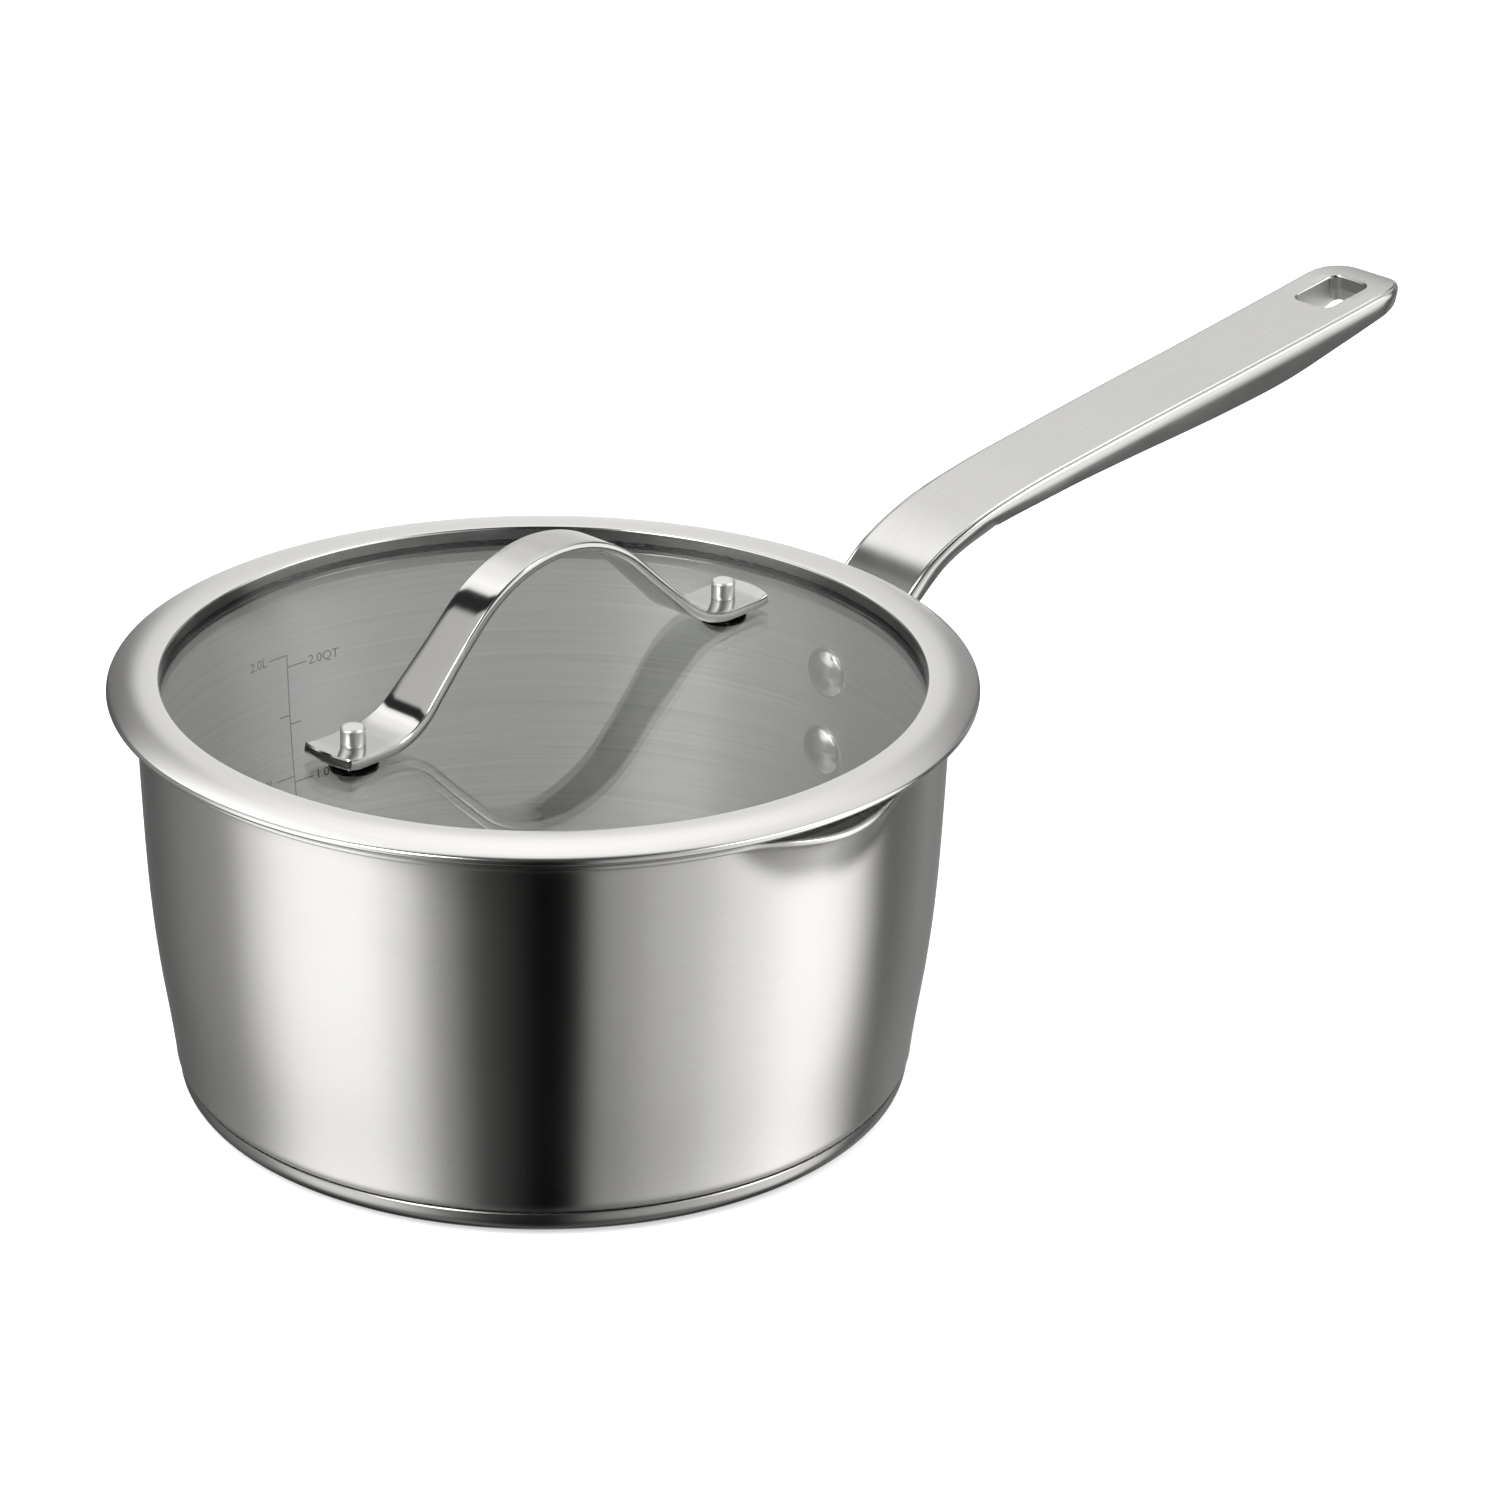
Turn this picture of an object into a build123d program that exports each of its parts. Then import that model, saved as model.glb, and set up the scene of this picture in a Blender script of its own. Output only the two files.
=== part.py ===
"""Saucepan with a glass lid: a spun steel vessel with two pouring spouts and a capped base,
a cast handle on two rivets, and a lift-off lid of flat glass in a steel rim under a strap handle.

Millimetres, +Z up. The origin is on the vessel's axis at the underside of the base,
and +X runs out along the pan handle.
"""
from build123d import *
import os
from math import cos, radians, sin, tan

os.makedirs("parts", exist_ok=True)

# ---- vessel
WALL = 0.9                 # sheet thickness of the vessel
FLOOR_Z = 5.6              # underside of the vessel's floor, on top of the base
CORNER_R = 4.0             # outside radius between floor and wall
FOOT_R = 92.4              # outside radius where the corner ends
LOW_R, LOW_Z = 95.8, 34.6  # the wall leans out most near its foot
MID_R, MID_Z = 98.8, 76.7
TOP_R = 99.4               # outside radius just under the rim
RIM_R = 103.3              # outer edge of the turned-out rim
RIM_Z = 102.5              # top of the rim
RIM_T = 1.4                # the rim's edge is ground thicker than the sheet
FLARE_R = 2.2              # radius that turns the wall out into the rim

# ---- pouring spouts, one each side of the handle
SPOUT_REACH = 105.0        # outside of the spout at the rim
SPOUT_R = 47.0             # radius across the spout, seen from above
SPOUT_LEAN = 20.0          # degrees that the spout leans out
SPOUT_LIP = 1.9            # the lip's edge past the spout's outside
SPOUT_DIP = 1.8            # how far the rim drops at the spout
SPOUT_HALF = 27.0          # half the width of the drop

# ---- base
CAP_R = 91.5               # outer radius of the steel cap
CAP_T = 0.5
CAP_EDGE_R = 5.0           # rounded lower edge of the cap
CAP_TOP = 6.2
CORE_R = 90.9

# ---- pan handle
HANDLE_END = 312.0
NECK = [(108, 93), (121, 105), (137, 112.6), (157, 117.7)]    # top face of the swan neck, (x, z)
GRIP = [(211, 126.3), (264, 134.1), (303, 140.0)]             # top face of the grip
BELLY = [(282, 127.3), (262, 121.9), (236, 118.5), (200, 115.6), (172, 113)]
GRIP_HALF = 13.0           # half the width at the neck
WIDEN_X, END_HALF = 130.0, 14.4   # from here it widens to this at its end
NOSE_R = 12.0              # corner radius of the handle's end, from above
PAD_LOW, PAD_TOP = 44.5, 88.0
PAD_T = 4.0
PAD_FACE = TOP_R + PAD_T   # outer face of the pad, at its top
CHANNEL_SKIN = 2.6         # metal left above and beside the hollow underside
CHANNEL_START = 140.0
HOLE_X, HOLE_L, HOLE_W = 291.6, 18.6, 12.8
HOLE_CORNER = 3.0

# ---- rivets
RIVET_Z = {"upper": 75.5, "lower": 53.9}
RIVET_SHANK = 3.0
RIVET_HEAD_R, RIVET_HEAD_H = 6.2, 2.8
RIVET_TAIL_R, RIVET_TAIL_H = 4.6, 1.3

# ---- lid
LID_GAP = 0.3              # the lid's seat above the vessel's rim
GLASS_R, GLASS_TOP, GLASS_T = 95.5, 104.1, 4.0
BAND_IN = 93.65            # inner edge of the upper ring
CURL_R, CURL_U, CURL_Z = 0.9, 105.7, 104.9     # curled outer edge: radius and centre
CURL_MEET = 71.0           # degrees round the curl where the crown meets it
BAND_TOP, BAND_CORNER_R = 107.4, 1.0
BAND_T = 0.6               # sheet of both lid rings
SKIRT_R = 97.6             # outside of the locating skirt
SKIRT_LOW = 97.2
SEAT_Z = RIM_Z + LID_GAP

# ---- strap handle and its two feet
STRAP_TURN = 3.8           # degrees between the strap and the pan handle
FOOT_U = 64.2              # screw posts, from the lid's axis
STRAP_T = 2.6
STRAP_FOOT_HALF, STRAP_CREST_HALF = 8.0, 6.1
STRAP_END = 74.0
STRAP_BOW = 1.6            # how far the ends bow out
STRAP_LOW = 105.0          # underside of the strap's feet
STRAP_FLANK = 43.4         # degrees of slope between foot and crest
CREST_Z, CREST_R = 140.7, 41.0
STRAP_FOOT_R = 20.0        # bend between foot and flank
TIP_BEND_U, TIP_R, TIP_RISE = 69.5, 10.0, 12.0
POST_R, POST_TOP = 3.05, 112.1
NECK_R, NECK_LOW = 2.5, 100.6
SCREW_R = 1.65
RUNNING = 0.05             # clearance round the screw's shank
GASKET_R, GASKET_T = 6.0, 1.0
WASHER_R, WASHER_T = 5.6, 0.8
SCREW_HEAD_R, SCREW_HEAD_H = 4.2, 2.3
GLASS_HOLE_R = 3.3
GLASS_LOW = GLASS_TOP - GLASS_T


def turned(outline):
    """A solid turned about the vessel's axis from a closed outline in the XZ plane."""
    return revolve(make_face(Plane.XZ * outline), Axis.Z, 360)


def closed(*points):
    return Polyline(*points, close=True)


def disc(radius, low, high, inner=0.0, x=0.0):
    ring = Pos(x, 0, low) * extrude(Circle(radius), high - low)
    if inner:
        ring -= Pos(x, 0, low - 1) * extrude(Circle(inner), high - low + 2)
    return ring


def wall_outline(inset, flare_r, flare_top, top):
    """Half outline of the vessel, its wall moved in by an inset and flared out near the top."""
    low = FLOOR_Z + inset
    corner = CORNER_R - inset
    foot = (FOOT_R - inset, FLOOR_Z + CORNER_R)
    floor = Line((0, low), (FOOT_R - CORNER_R, low))
    bend = JernArc(floor @ 1, floor % 1, corner, 90)
    wall = Spline(
        foot,
        (LOW_R - inset, LOW_Z),
        (MID_R - inset, MID_Z),
        (TOP_R - inset, flare_top - flare_r),
        tangents=[(0.10, 1), (0, 1)],
    )
    flare = JernArc(wall @ 1, (0, 1), flare_r, -90)
    rise = Polyline(flare @ 1, ((flare @ 1).X, top), (0, top), (0, low))
    return floor + bend + wall + flare + rise


def outer_form():
    """The vessel without its spouts and rim, as a solid."""
    return turned(wall_outline(0, FLARE_R, RIM_Z - RIM_T, RIM_Z))


def rivet_holes():
    """The two rivets' holes through the wall and the handle's pad."""
    hole = Pos(TOP_R, 0, 0) * Rot(0, 90, 0) * Cylinder(RIVET_SHANK, 30)
    return Pos(0, 0, RIVET_Z["upper"]) * hole + Pos(0, 0, RIVET_Z["lower"]) * hole


def spout_form(inset):
    """Cylinder leaning out on the -Y side, which pushes the wall out into a spout."""
    middle = SPOUT_REACH - SPOUT_R / cos(radians(SPOUT_LEAN))
    return Pos(0, -middle, RIM_Z) * Rot(SPOUT_LEAN, 0, 0) * Cylinder(SPOUT_R - inset, 60)


def both_sides(solid):
    return solid + solid.mirror(Plane.XZ)


def pan_body():
    """Vessel: one sheet, with two spouts and a turned-out rim that dips at each spout."""
    outside = Pos(0, -SPOUT_REACH, RIM_Z - RIM_T - 20) * Box(90, 60, 40)
    bulge = spout_form(0) & outside
    rim = disc(RIM_R, RIM_Z - RIM_T, RIM_Z)
    drop_r = (SPOUT_HALF**2 + SPOUT_DIP**2) / (2 * SPOUT_DIP)
    above_lip = Pos(0, -SPOUT_REACH, RIM_Z - SPOUT_DIP + drop_r) * Rot(90, 0, 0)
    lip_plan = Pos(0, SPOUT_R - SPOUT_REACH, RIM_Z - 5) * extrude(Circle(SPOUT_R + SPOUT_LIP), 5)
    lip = lip_plan & (above_lip * Cylinder(drop_r + RIM_T, 40))
    form = outer_form() + rim + both_sides(bulge) + both_sides(lip)
    form -= both_sides(above_lip * Cylinder(drop_r, 40))
    hollow = turned(wall_outline(WALL, FLARE_R + 0.3, RIM_Z, RIM_Z + 5))
    inside = Pos(0, -SPOUT_REACH, RIM_Z - 14) * Box(90, 60, 40)
    return form - hollow - both_sides(spout_form(WALL) & inside) - rivet_holes()


def cap_outline(inset):
    """Half outline of the base: flat underside, rounded edge, upright side."""
    radius = CAP_EDGE_R - inset
    under = Line((0, inset), (CAP_R - CAP_EDGE_R, inset))
    edge = JernArc(under @ 1, under % 1, radius, 90)
    side = Polyline(edge @ 1, (CAP_R - inset, CAP_TOP), (0, CAP_TOP), (0, inset))
    return under + edge + side


def base_cap():
    """Magnetic steel cap under the base, an open shallow cup."""
    cup = turned(cap_outline(0)) - turned(cap_outline(CAP_T))
    return cup - outer_form()


def base_core():
    """Aluminium disc pressed between the cap and the vessel's floor."""
    puck = turned(cap_outline(CAP_T)) & disc(CORE_R, 0, FLOOR_Z)
    return puck


def handle_side():
    """The handle seen from the side: pad, swan neck, straight grip with a deeper belly."""
    top = Spline((98, PAD_TOP - 1), *NECK, *GRIP, tangents=[(1, 0.35), (1, 0.1)])
    nose = Spline(
        top @ 1,
        (HANDLE_END - 2, 139.5),
        (HANDLE_END, 137.4),
        (HANDLE_END - 3, 135.3),
        (HANDLE_END - 13, 132.4),
        tangents=[(1, 0.1), (-1, -0.35)],
    )
    under = Spline(
        nose @ 1,
        *BELLY,
        (145, 108.6),
        (128, 102.6),
        (108, 87.2),
        (PAD_FACE, 79.5),
        tangents=[(-1, -0.35), (-0.07, -1)],
    )
    pad = Polyline(under @ 1, (PAD_FACE - 2.3, PAD_LOW), (90, PAD_LOW), (90, PAD_TOP - 1), top @ 0)
    return top + nose + under + pad


def handle_plan():
    """The handle seen from above: widening a little to its rounded end."""
    edge = [(HANDLE_END - 240, GRIP_HALF), (WIDEN_X, GRIP_HALF), (HANDLE_END, END_HALF)]
    plan = make_face(Polyline(*edge, *[(x, -y) for x, y in reversed(edge)], close=True))
    ends = plan.vertices().group_by(Axis.X)[-1]
    return fillet(ends, NOSE_R)


def channel_side():
    """Hollow under the grip, one skin below its top face."""
    far = HOLE_X - HOLE_L / 2 - CHANNEL_SKIN
    deck = [(x, z - 1.1 * CHANNEL_SKIN) for x, z in NECK[2:] + GRIP[:2]]
    rise = (GRIP[2][1] - GRIP[1][1]) / (GRIP[2][0] - GRIP[1][0])
    end = (far, deck[-1][1] + rise * (far - deck[-1][0]))
    return closed((CHANNEL_START, 90), deck[0], *deck[1:], end, (far, 90))


def pan_handle():
    """Cast handle: pad riveted to the wall, hollow underside, hanging hole."""
    side = extrude(make_face(Plane.XZ * handle_side()), END_HALF + 1, both=True)
    body = side & extrude(handle_plan(), 200)
    body -= extrude(make_face(Plane.XZ * channel_side()), GRIP_HALF - CHANNEL_SKIN, both=True)
    body -= Pos(HOLE_X, 0, 0) * extrude(RectangleRounded(HOLE_L, HOLE_W, HOLE_CORNER), 200)
    return body - outer_form() - rivet_holes()


def dome(radius, height):
    """Low dome on the XY plane, its crown up."""
    ball = (radius**2 + height**2) / (2 * height)
    cap = Pos(0, 0, height - ball) * Sphere(ball)
    return cap & Pos(0, 0, height) * Box(3 * radius, 3 * radius, 2 * height)


def wall_radius(z):
    """Outside radius of the wall at a height near the rivets."""
    return LOW_R + (MID_R - LOW_R) * ((z - LOW_Z) / (MID_Z - LOW_Z)) ** 0.78


def handle_rivet(z, neighbours):
    """Solid rivet: domed head inside the vessel, shank, low closed head on the pad."""
    inside = wall_radius(z) - WALL
    length = WALL + PAD_T + 1
    edge = 1.0                                   # upright edge of each head, under its dome
    shank = Rot(0, 90, 0) * disc(RIVET_SHANK, 0, length)
    head = disc(RIVET_HEAD_R, -edge, edge) + Pos(0, 0, edge) * dome(RIVET_HEAD_R, RIVET_HEAD_H - edge)
    tail = disc(RIVET_TAIL_R, -edge, 0.5) + Pos(0, 0, 0.5) * dome(RIVET_TAIL_R, RIVET_TAIL_H - 0.5)
    rivet = shank + Rot(0, -90, 0) * head + Pos(WALL + PAD_T, 0, 0) * Rot(0, 90, 0) * tail
    rivet = Pos(inside, 0, z) * rivet
    for neighbour in neighbours:
        rivet -= neighbour
    return rivet


def lid_glass():
    """Flat tempered glass, its edge rounded, drilled for the two screw posts."""
    plate = disc(GLASS_R, GLASS_LOW, GLASS_TOP)
    plate = fillet(plate.edges().filter_by(GeomType.CIRCLE), 0.8)
    for side in (-1, 1):
        plate -= disc(GLASS_HOLE_R, GLASS_LOW - 1, GLASS_TOP + 1, x=side * FOOT_U)
    return plate


def on_curl(radius):
    """Point where the crown meets the curled edge, on the curl's circle of a radius."""
    return (CURL_U + radius * cos(radians(CURL_MEET)), CURL_Z + radius * sin(radians(CURL_MEET)))


def lid_rim_band():
    """Crowned steel ring over the glass's edge, its outer edge curled under."""
    inner = BAND_IN + BAND_T
    low = GLASS_TOP + RUNNING
    curl_in = CURL_R - BAND_T + 0.1
    over = Line((BAND_IN, low), (BAND_IN, BAND_TOP - BAND_CORNER_R))
    corner = JernArc(over @ 1, (0, 1), BAND_CORNER_R, -87)
    crown = TangentArc(corner @ 1, on_curl(CURL_R), tangent=corner % 1)
    curl = ThreePointArc(crown @ 1, (CURL_U + CURL_R, CURL_Z), (CURL_U, CURL_Z - CURL_R))
    lip = Polyline(curl @ 1, (CURL_U - 1.2, CURL_Z - CURL_R), (CURL_U - 1.2, CURL_Z - curl_in),
                   (CURL_U, CURL_Z - curl_in))
    back = ThreePointArc(lip @ 1, (CURL_U + curl_in, CURL_Z), on_curl(curl_in))
    middle = crown @ 0.5 - Vector(0.14, 0.99) * BAND_T
    lining = ThreePointArc(back @ 1, middle, corner @ 1 - Vector(0, BAND_T))
    turn = JernArc(lining @ 1, (-1, 0), BAND_CORNER_R - BAND_T, 90)
    foot = Polyline(turn @ 1, (inner, low), over @ 0)
    return turned(over + corner + crown + curl + lip + back + lining + turn + foot)


def lid_locating_ring():
    """Lower steel ring: held in the band's curl, rests on the rim, drops into the vessel
    as a folded skirt and returns under the glass as a shelf."""
    shelf = GLASS_LOW - BAND_T
    hem = SKIRT_R - 2 * BAND_T - 0.3             # inner side of the folded skirt
    tuck = CURL_Z - 0.35                         # underside of the edge held in the curl
    return turned(closed(
        (CURL_U - 0.2, tuck), (CURL_U - 0.2, tuck + BAND_T), (104.1, tuck + BAND_T),
        (103.4, SEAT_Z + BAND_T), (SKIRT_R + 0.6, SEAT_Z + BAND_T), (SKIRT_R - BAND_T, SEAT_Z - 0.5),
        (SKIRT_R - BAND_T, SKIRT_LOW + BAND_T), (hem + BAND_T, SKIRT_LOW + BAND_T),
        (hem + BAND_T, shelf), (BAND_IN + 0.3, shelf), (BAND_IN + 0.3, shelf - BAND_T),
        (hem, shelf - BAND_T), (hem, SKIRT_LOW + 0.3), (hem + 0.3, SKIRT_LOW),
        (SKIRT_R - 0.3, SKIRT_LOW), (SKIRT_R, SKIRT_LOW + 0.3), (SKIRT_R, SEAT_Z - 0.8),
        (SKIRT_R + 1, SEAT_Z), (103.8, SEAT_Z), (104.3, tuck),
    ))


def lid_glass_seal():
    """Silicone channel round the glass's edge, pinched between the two rings."""
    channel = disc(GLASS_R + 0.45, GLASS_LOW - BAND_T, GLASS_TOP + 0.7, inner=BAND_IN + BAND_T + 0.1)
    channel -= disc(GLASS_R, GLASS_LOW, GLASS_TOP)
    return channel - lid_glass()


def strap_line(depth):
    """The strap's bent line from tip to tip, a depth below its top face."""
    flank = radians(STRAP_FLANK)
    apex = CREST_Z + CREST_R * (1 / cos(flank) - 1) - depth / cos(flank)
    foot_z = STRAP_LOW + STRAP_T - depth
    foot_u = (apex - foot_z) / tan(flank)
    tip_z = foot_z + (STRAP_END - TIP_BEND_U) * tan(radians(TIP_RISE))
    half = [(TIP_BEND_U, foot_z), (foot_u, foot_z)]
    bends = [(-u, z) for u, z in half] + [(0, apex)] + half[::-1]
    radii = [TIP_R + depth, STRAP_FOOT_R + depth]
    return FilletPolyline(
        (-STRAP_END, tip_z), *bends, (STRAP_END, tip_z),
        radius=radii + [CREST_R - depth] + radii[::-1],
    )


def strap_plan():
    """The strap seen from above: broad feet with bowed ends, a narrower arch."""
    end = STRAP_END - STRAP_BOW
    half = [(end, STRAP_FOOT_HALF), (FOOT_U - 3, STRAP_FOOT_HALF), (FOOT_U - 15, STRAP_FOOT_HALF - 1.2),
            (FOOT_U - 28, STRAP_CREST_HALF)]
    side = Spline(*half, (0, STRAP_CREST_HALF), *[(-u, v) for u, v in half[::-1]])
    tip = ThreePointArc((end, -STRAP_FOOT_HALF), (STRAP_END, 0), (end, STRAP_FOOT_HALF))
    return make_face(side + tip + side.mirror(Plane.XZ) + tip.mirror(Plane.YZ))


def lid_strap_handle():
    """Arched strap of thick steel bar, drilled at each foot for a screw post."""
    top, under = strap_line(0), strap_line(STRAP_T)
    ends = Line(top @ 0, under @ 0) + Line(top @ 1, under @ 1)
    side = make_face(Plane.XZ * (top + under + ends))
    strap = extrude(side, 2 * STRAP_FOOT_HALF, both=True) & extrude(strap_plan(), 200)
    for side in (-1, 1):
        strap -= disc(NECK_R + RUNNING, 90, 120, x=side * FOOT_U)
    return strap


def strap_post():
    """Barrel nut: round head on the strap's foot, neck down through strap and glass."""
    shoulder = STRAP_LOW + STRAP_T
    head = disc(POST_R, shoulder, POST_TOP)
    head = fillet(head.edges().group_by(Axis.Z)[-1], 0.8)
    return head + disc(NECK_R, NECK_LOW, shoulder) - disc(SCREW_R + RUNNING, 90, shoulder + 1)


def strap_gasket():
    """Silicone washer between the strap's foot and the glass."""
    return disc(GASKET_R, GLASS_TOP, STRAP_LOW, inner=NECK_R + RUNNING)


def glass_gasket():
    """Silicone washer under the glass."""
    return disc(GASKET_R, GLASS_LOW - GASKET_T, GLASS_LOW, inner=SCREW_R + RUNNING)


def strap_washer():
    low = GLASS_LOW - GASKET_T - WASHER_T
    return disc(WASHER_R, low, low + WASHER_T, inner=SCREW_R + RUNNING)


def strap_screw():
    """Pan-head screw with a cross recess, up through the washers into the post."""
    top = GLASS_LOW - GASKET_T - WASHER_T
    head = disc(SCREW_HEAD_R, top - SCREW_HEAD_H, top)
    head = fillet(head.edges().group_by(Axis.Z)[0], 1.4)
    slot = Pos(0, 0, top - SCREW_HEAD_H) * (Box(4.4, 0.9, 2.4) + Box(0.9, 4.4, 2.4))
    return head - slot + disc(SCREW_R, top, STRAP_LOW + STRAP_T)


def on_lid(solid):
    """Turns a piece of the lid with the strap."""
    return Rot(0, 0, STRAP_TURN) * solid


vessel = pan_body()
handle = pan_handle()
nodes = {
    "pan_body": vessel,
    "base_core": base_core(),
    "base_cap": base_cap(),
    "pan_handle": handle,
    "lid_glass": on_lid(lid_glass()),
    "lid_rim_band": lid_rim_band(),
    "lid_locating_ring": lid_locating_ring(),
    "lid_glass_seal": lid_glass_seal(),
    "lid_strap_handle": on_lid(lid_strap_handle()),
}
for place, height in RIVET_Z.items():
    nodes[f"handle_rivet_{place}"] = handle_rivet(height, [vessel, handle])
for place, way in (("handle_side", 1), ("open_side", -1)):
    foot = Rot(0, 0, STRAP_TURN) * Pos(way * FOOT_U, 0, 0)
    nodes[f"strap_post_{place}"] = foot * strap_post()
    nodes[f"strap_gasket_{place}"] = foot * strap_gasket()
    nodes[f"glass_gasket_{place}"] = foot * glass_gasket()
    nodes[f"strap_washer_{place}"] = foot * strap_washer()
    nodes[f"strap_screw_{place}"] = foot * strap_screw()

for name, solid in nodes.items():
    export_step(solid, f"parts/{name}.step")
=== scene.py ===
import bpy
import bmesh
from math import atan2, cos, degrees, hypot, pi, radians, sin, sqrt, tan
from mathutils import Matrix, Vector


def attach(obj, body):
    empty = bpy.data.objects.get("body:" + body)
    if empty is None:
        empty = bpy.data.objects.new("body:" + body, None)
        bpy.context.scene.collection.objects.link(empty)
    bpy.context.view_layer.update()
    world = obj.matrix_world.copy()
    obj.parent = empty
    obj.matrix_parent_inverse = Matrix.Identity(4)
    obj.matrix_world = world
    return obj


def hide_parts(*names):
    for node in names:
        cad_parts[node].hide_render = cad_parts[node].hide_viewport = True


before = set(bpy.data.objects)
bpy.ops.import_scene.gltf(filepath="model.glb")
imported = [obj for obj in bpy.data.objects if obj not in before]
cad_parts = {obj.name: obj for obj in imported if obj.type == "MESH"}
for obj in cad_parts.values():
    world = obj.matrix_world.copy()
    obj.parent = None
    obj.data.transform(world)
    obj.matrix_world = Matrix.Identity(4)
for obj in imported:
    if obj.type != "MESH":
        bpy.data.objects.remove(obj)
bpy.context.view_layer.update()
MM = 0.001

# ---- vessel, millimetres
WALL = 0.9
# height, outside radius and slope of the wall
WALL_POINTS = [(9.6, 92.4, 0.10), (34.6, 95.8, 0.1283), (76.7, 98.8, 0.0377), (98.9, 99.4, 0.0)]
WALL_TOP_Z, WALL_TOP_R = WALL_POINTS[-1][:2]
CORNER_X, CORNER_Z, CORNER_R = 88.4, 9.6, 4.0
RIM_R, RIM_Z, RIM_T = 103.3, 102.5, 1.4
FLARE_R = 2.2                                           # outside, under the rim
INNER_FLARE_X, INNER_FLARE_Z, INNER_FLARE_R = 101.0, 100.0, 2.5
FLOOR_RADII = (1, 30, 60, 80)
# the inside's brushed finish and painted shade end this far under the rim
INSIDE_FINISH_AND_SHADE_TOP = RIM_Z - 3

# ---- pouring spouts: two leaning round channels, one on each side
SPOUT_REACH, SPOUT_R, SPOUT_LEAN = 105.0, 47.0, radians(20)
SPOUT_LIP, SPOUT_DIP, SPOUT_HALF = 1.75, 1.8, 27.0
SPOUT_SOFT, LIP_SOFT = 1.0, 0.8                         # rounding where a spout meets the wall
SPOUT_LOW_Z, SPOUT_MIN_R, SPOUT_MIN_Y = 60, 90, 60      # the vessel stays round below these
DIP_LOW_Z, DIP_FADE = 90, 10

# ---- base, millimetres
BASE_X, BASE_R, BASE_T = 86.5, 5, 0.5
BASE_LIP = [(91.5, 6.0), (91.3, 6.2), (91.15, 6.2), (91.0, 6.0)]

# ---- lid, millimetres
CURL_X, CURL_Z, CURL_R, CURL_HOLLOW_R = 105.7, 104.9, 0.9, 0.4
BAND_IN, BAND_T, BAND_LOW = 93.65, 0.6, 104.15
BAND_CORNER_X, BAND_CORNER_Z, BAND_CORNER_R = 94.25, 106.8, 0.6
CROWN_X, CROWN_Z, CROWN_R = 96.145, 77.88, 29.56
CROWN_START, CROWN_END = 92.2, 71.6                     # degrees
BAND_TUCK = [(104.5, 104.0), (104.5, 104.5)]
# reach of the painted shade on the ring's inner wall, over the glass
RING_WALL_OUT, RING_WALL_TOP = BAND_IN + 0.12, 106.9
GLASS_TOP = 104.1

# ---- strap handle of the lid, millimetres
STRAP_TURN = radians(3.8)
FOOT_U = 64.2
STRAP_T, STRAP_LOW = 2.6, 105.0
STRAP_FLANK = radians(43.4)
CREST_Z, CREST_R, STRAP_FOOT_R = 140.69, 41.0, 20.0
FLAT_END_U, TIP_U, TIP_R, TIP_RISE = 68.27, 73.6, 10, radians(12)
ARCH_HALF, FOOT_EXTRA, WIDEN_U, WIDEN_OVER = 6.1, 1.9, 30, 30
STRAP_ROLL, STRAP_LOW_ROLL, END_TRIM = 0.6, 0.4, 0.4
TIP_BOW, BOW_U, BOW_OVER = 1.6, 69, 4
POST_R, POST_TOP, POST_ROLL = 3.05, 112.1, 0.8
STEM_R, STEM_LOW = 2.5, 100.6
GASKET_IN, GASKET_OUT, GASKET_T = 2.6, 5.6, 0.9


# ================================================================ ways of making a piece

def clear_selection():
    bpy.ops.object.select_all(action="DESELECT")


def arc(x, z, r, start, end, steps):
    """Points on an arc, angles in degrees from +X towards +Z."""
    turn = [radians(start + (end - start) * i / steps) for i in range(steps + 1)]
    return [(x + r * cos(a), z + r * sin(a)) for a in turn]


def set_ring(mesh, ring):
    """Puts the selected corners of the ring being pulled at their places."""
    form = bmesh.from_edit_mesh(mesh)
    slot = form.verts.layers.int["slot"]
    for v in form.verts:
        if v.select:
            v.co = Vector(ring[v[slot]]) * MM
    bmesh.update_edit_mesh(mesh)


def pulled(name, rings, ends="filled"):
    """A piece pulled from ring to ring by extruding its open edge. Each ring is a list of
    points in millimetres. The ends are filled, joined to each other, or left open."""
    clear_selection()
    bpy.ops.mesh.primitive_circle_add(vertices=len(rings[0]), radius=0.01)
    piece = bpy.context.object
    piece.name = piece.data.name = name
    bpy.ops.object.mode_set(mode="EDIT")
    bpy.ops.mesh.select_mode(type="VERT")
    form = bmesh.from_edit_mesh(piece.data)
    slot = form.verts.layers.int.new("slot")
    for i, v in enumerate(form.verts):
        v[slot] = i
    bpy.ops.mesh.select_all(action="SELECT")
    set_ring(piece.data, rings[0])
    if ends == "filled":
        bpy.ops.mesh.edge_face_add()
        bpy.ops.mesh.select_all(action="SELECT")
    for ring in rings[1:]:
        if ends == "filled":
            bpy.ops.mesh.extrude_region_move()
        else:
            bpy.ops.mesh.extrude_edges_move()
        set_ring(piece.data, ring)
    if ends == "joined":
        bpy.ops.mesh.select_all(action="DESELECT")
        bpy.ops.mesh.select_non_manifold(extend=False)
        bpy.ops.mesh.bridge_edge_loops()
    form = bmesh.from_edit_mesh(piece.data)
    form.verts.layers.int.remove(form.verts.layers.int["slot"])
    bmesh.update_edit_mesh(piece.data)
    bpy.ops.mesh.select_all(action="SELECT")
    bpy.ops.mesh.remove_doubles(threshold=1e-7)
    bpy.ops.mesh.normals_make_consistent(inside=False)
    bpy.ops.object.mode_set(mode="OBJECT")
    return piece


def turned(name, outline, count=384, ends="joined", bend=None):
    """A piece turned about the vessel's axis from an outline of (radius, height) points."""
    rings = []
    for r, z in outline:
        ring = [(r * cos(2 * pi * i / count), r * sin(2 * pi * i / count), z)
                for i in range(count)]
        rings.append([bend(p) for p in ring] if bend else ring)
    return pulled(name, rings, ends)


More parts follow.
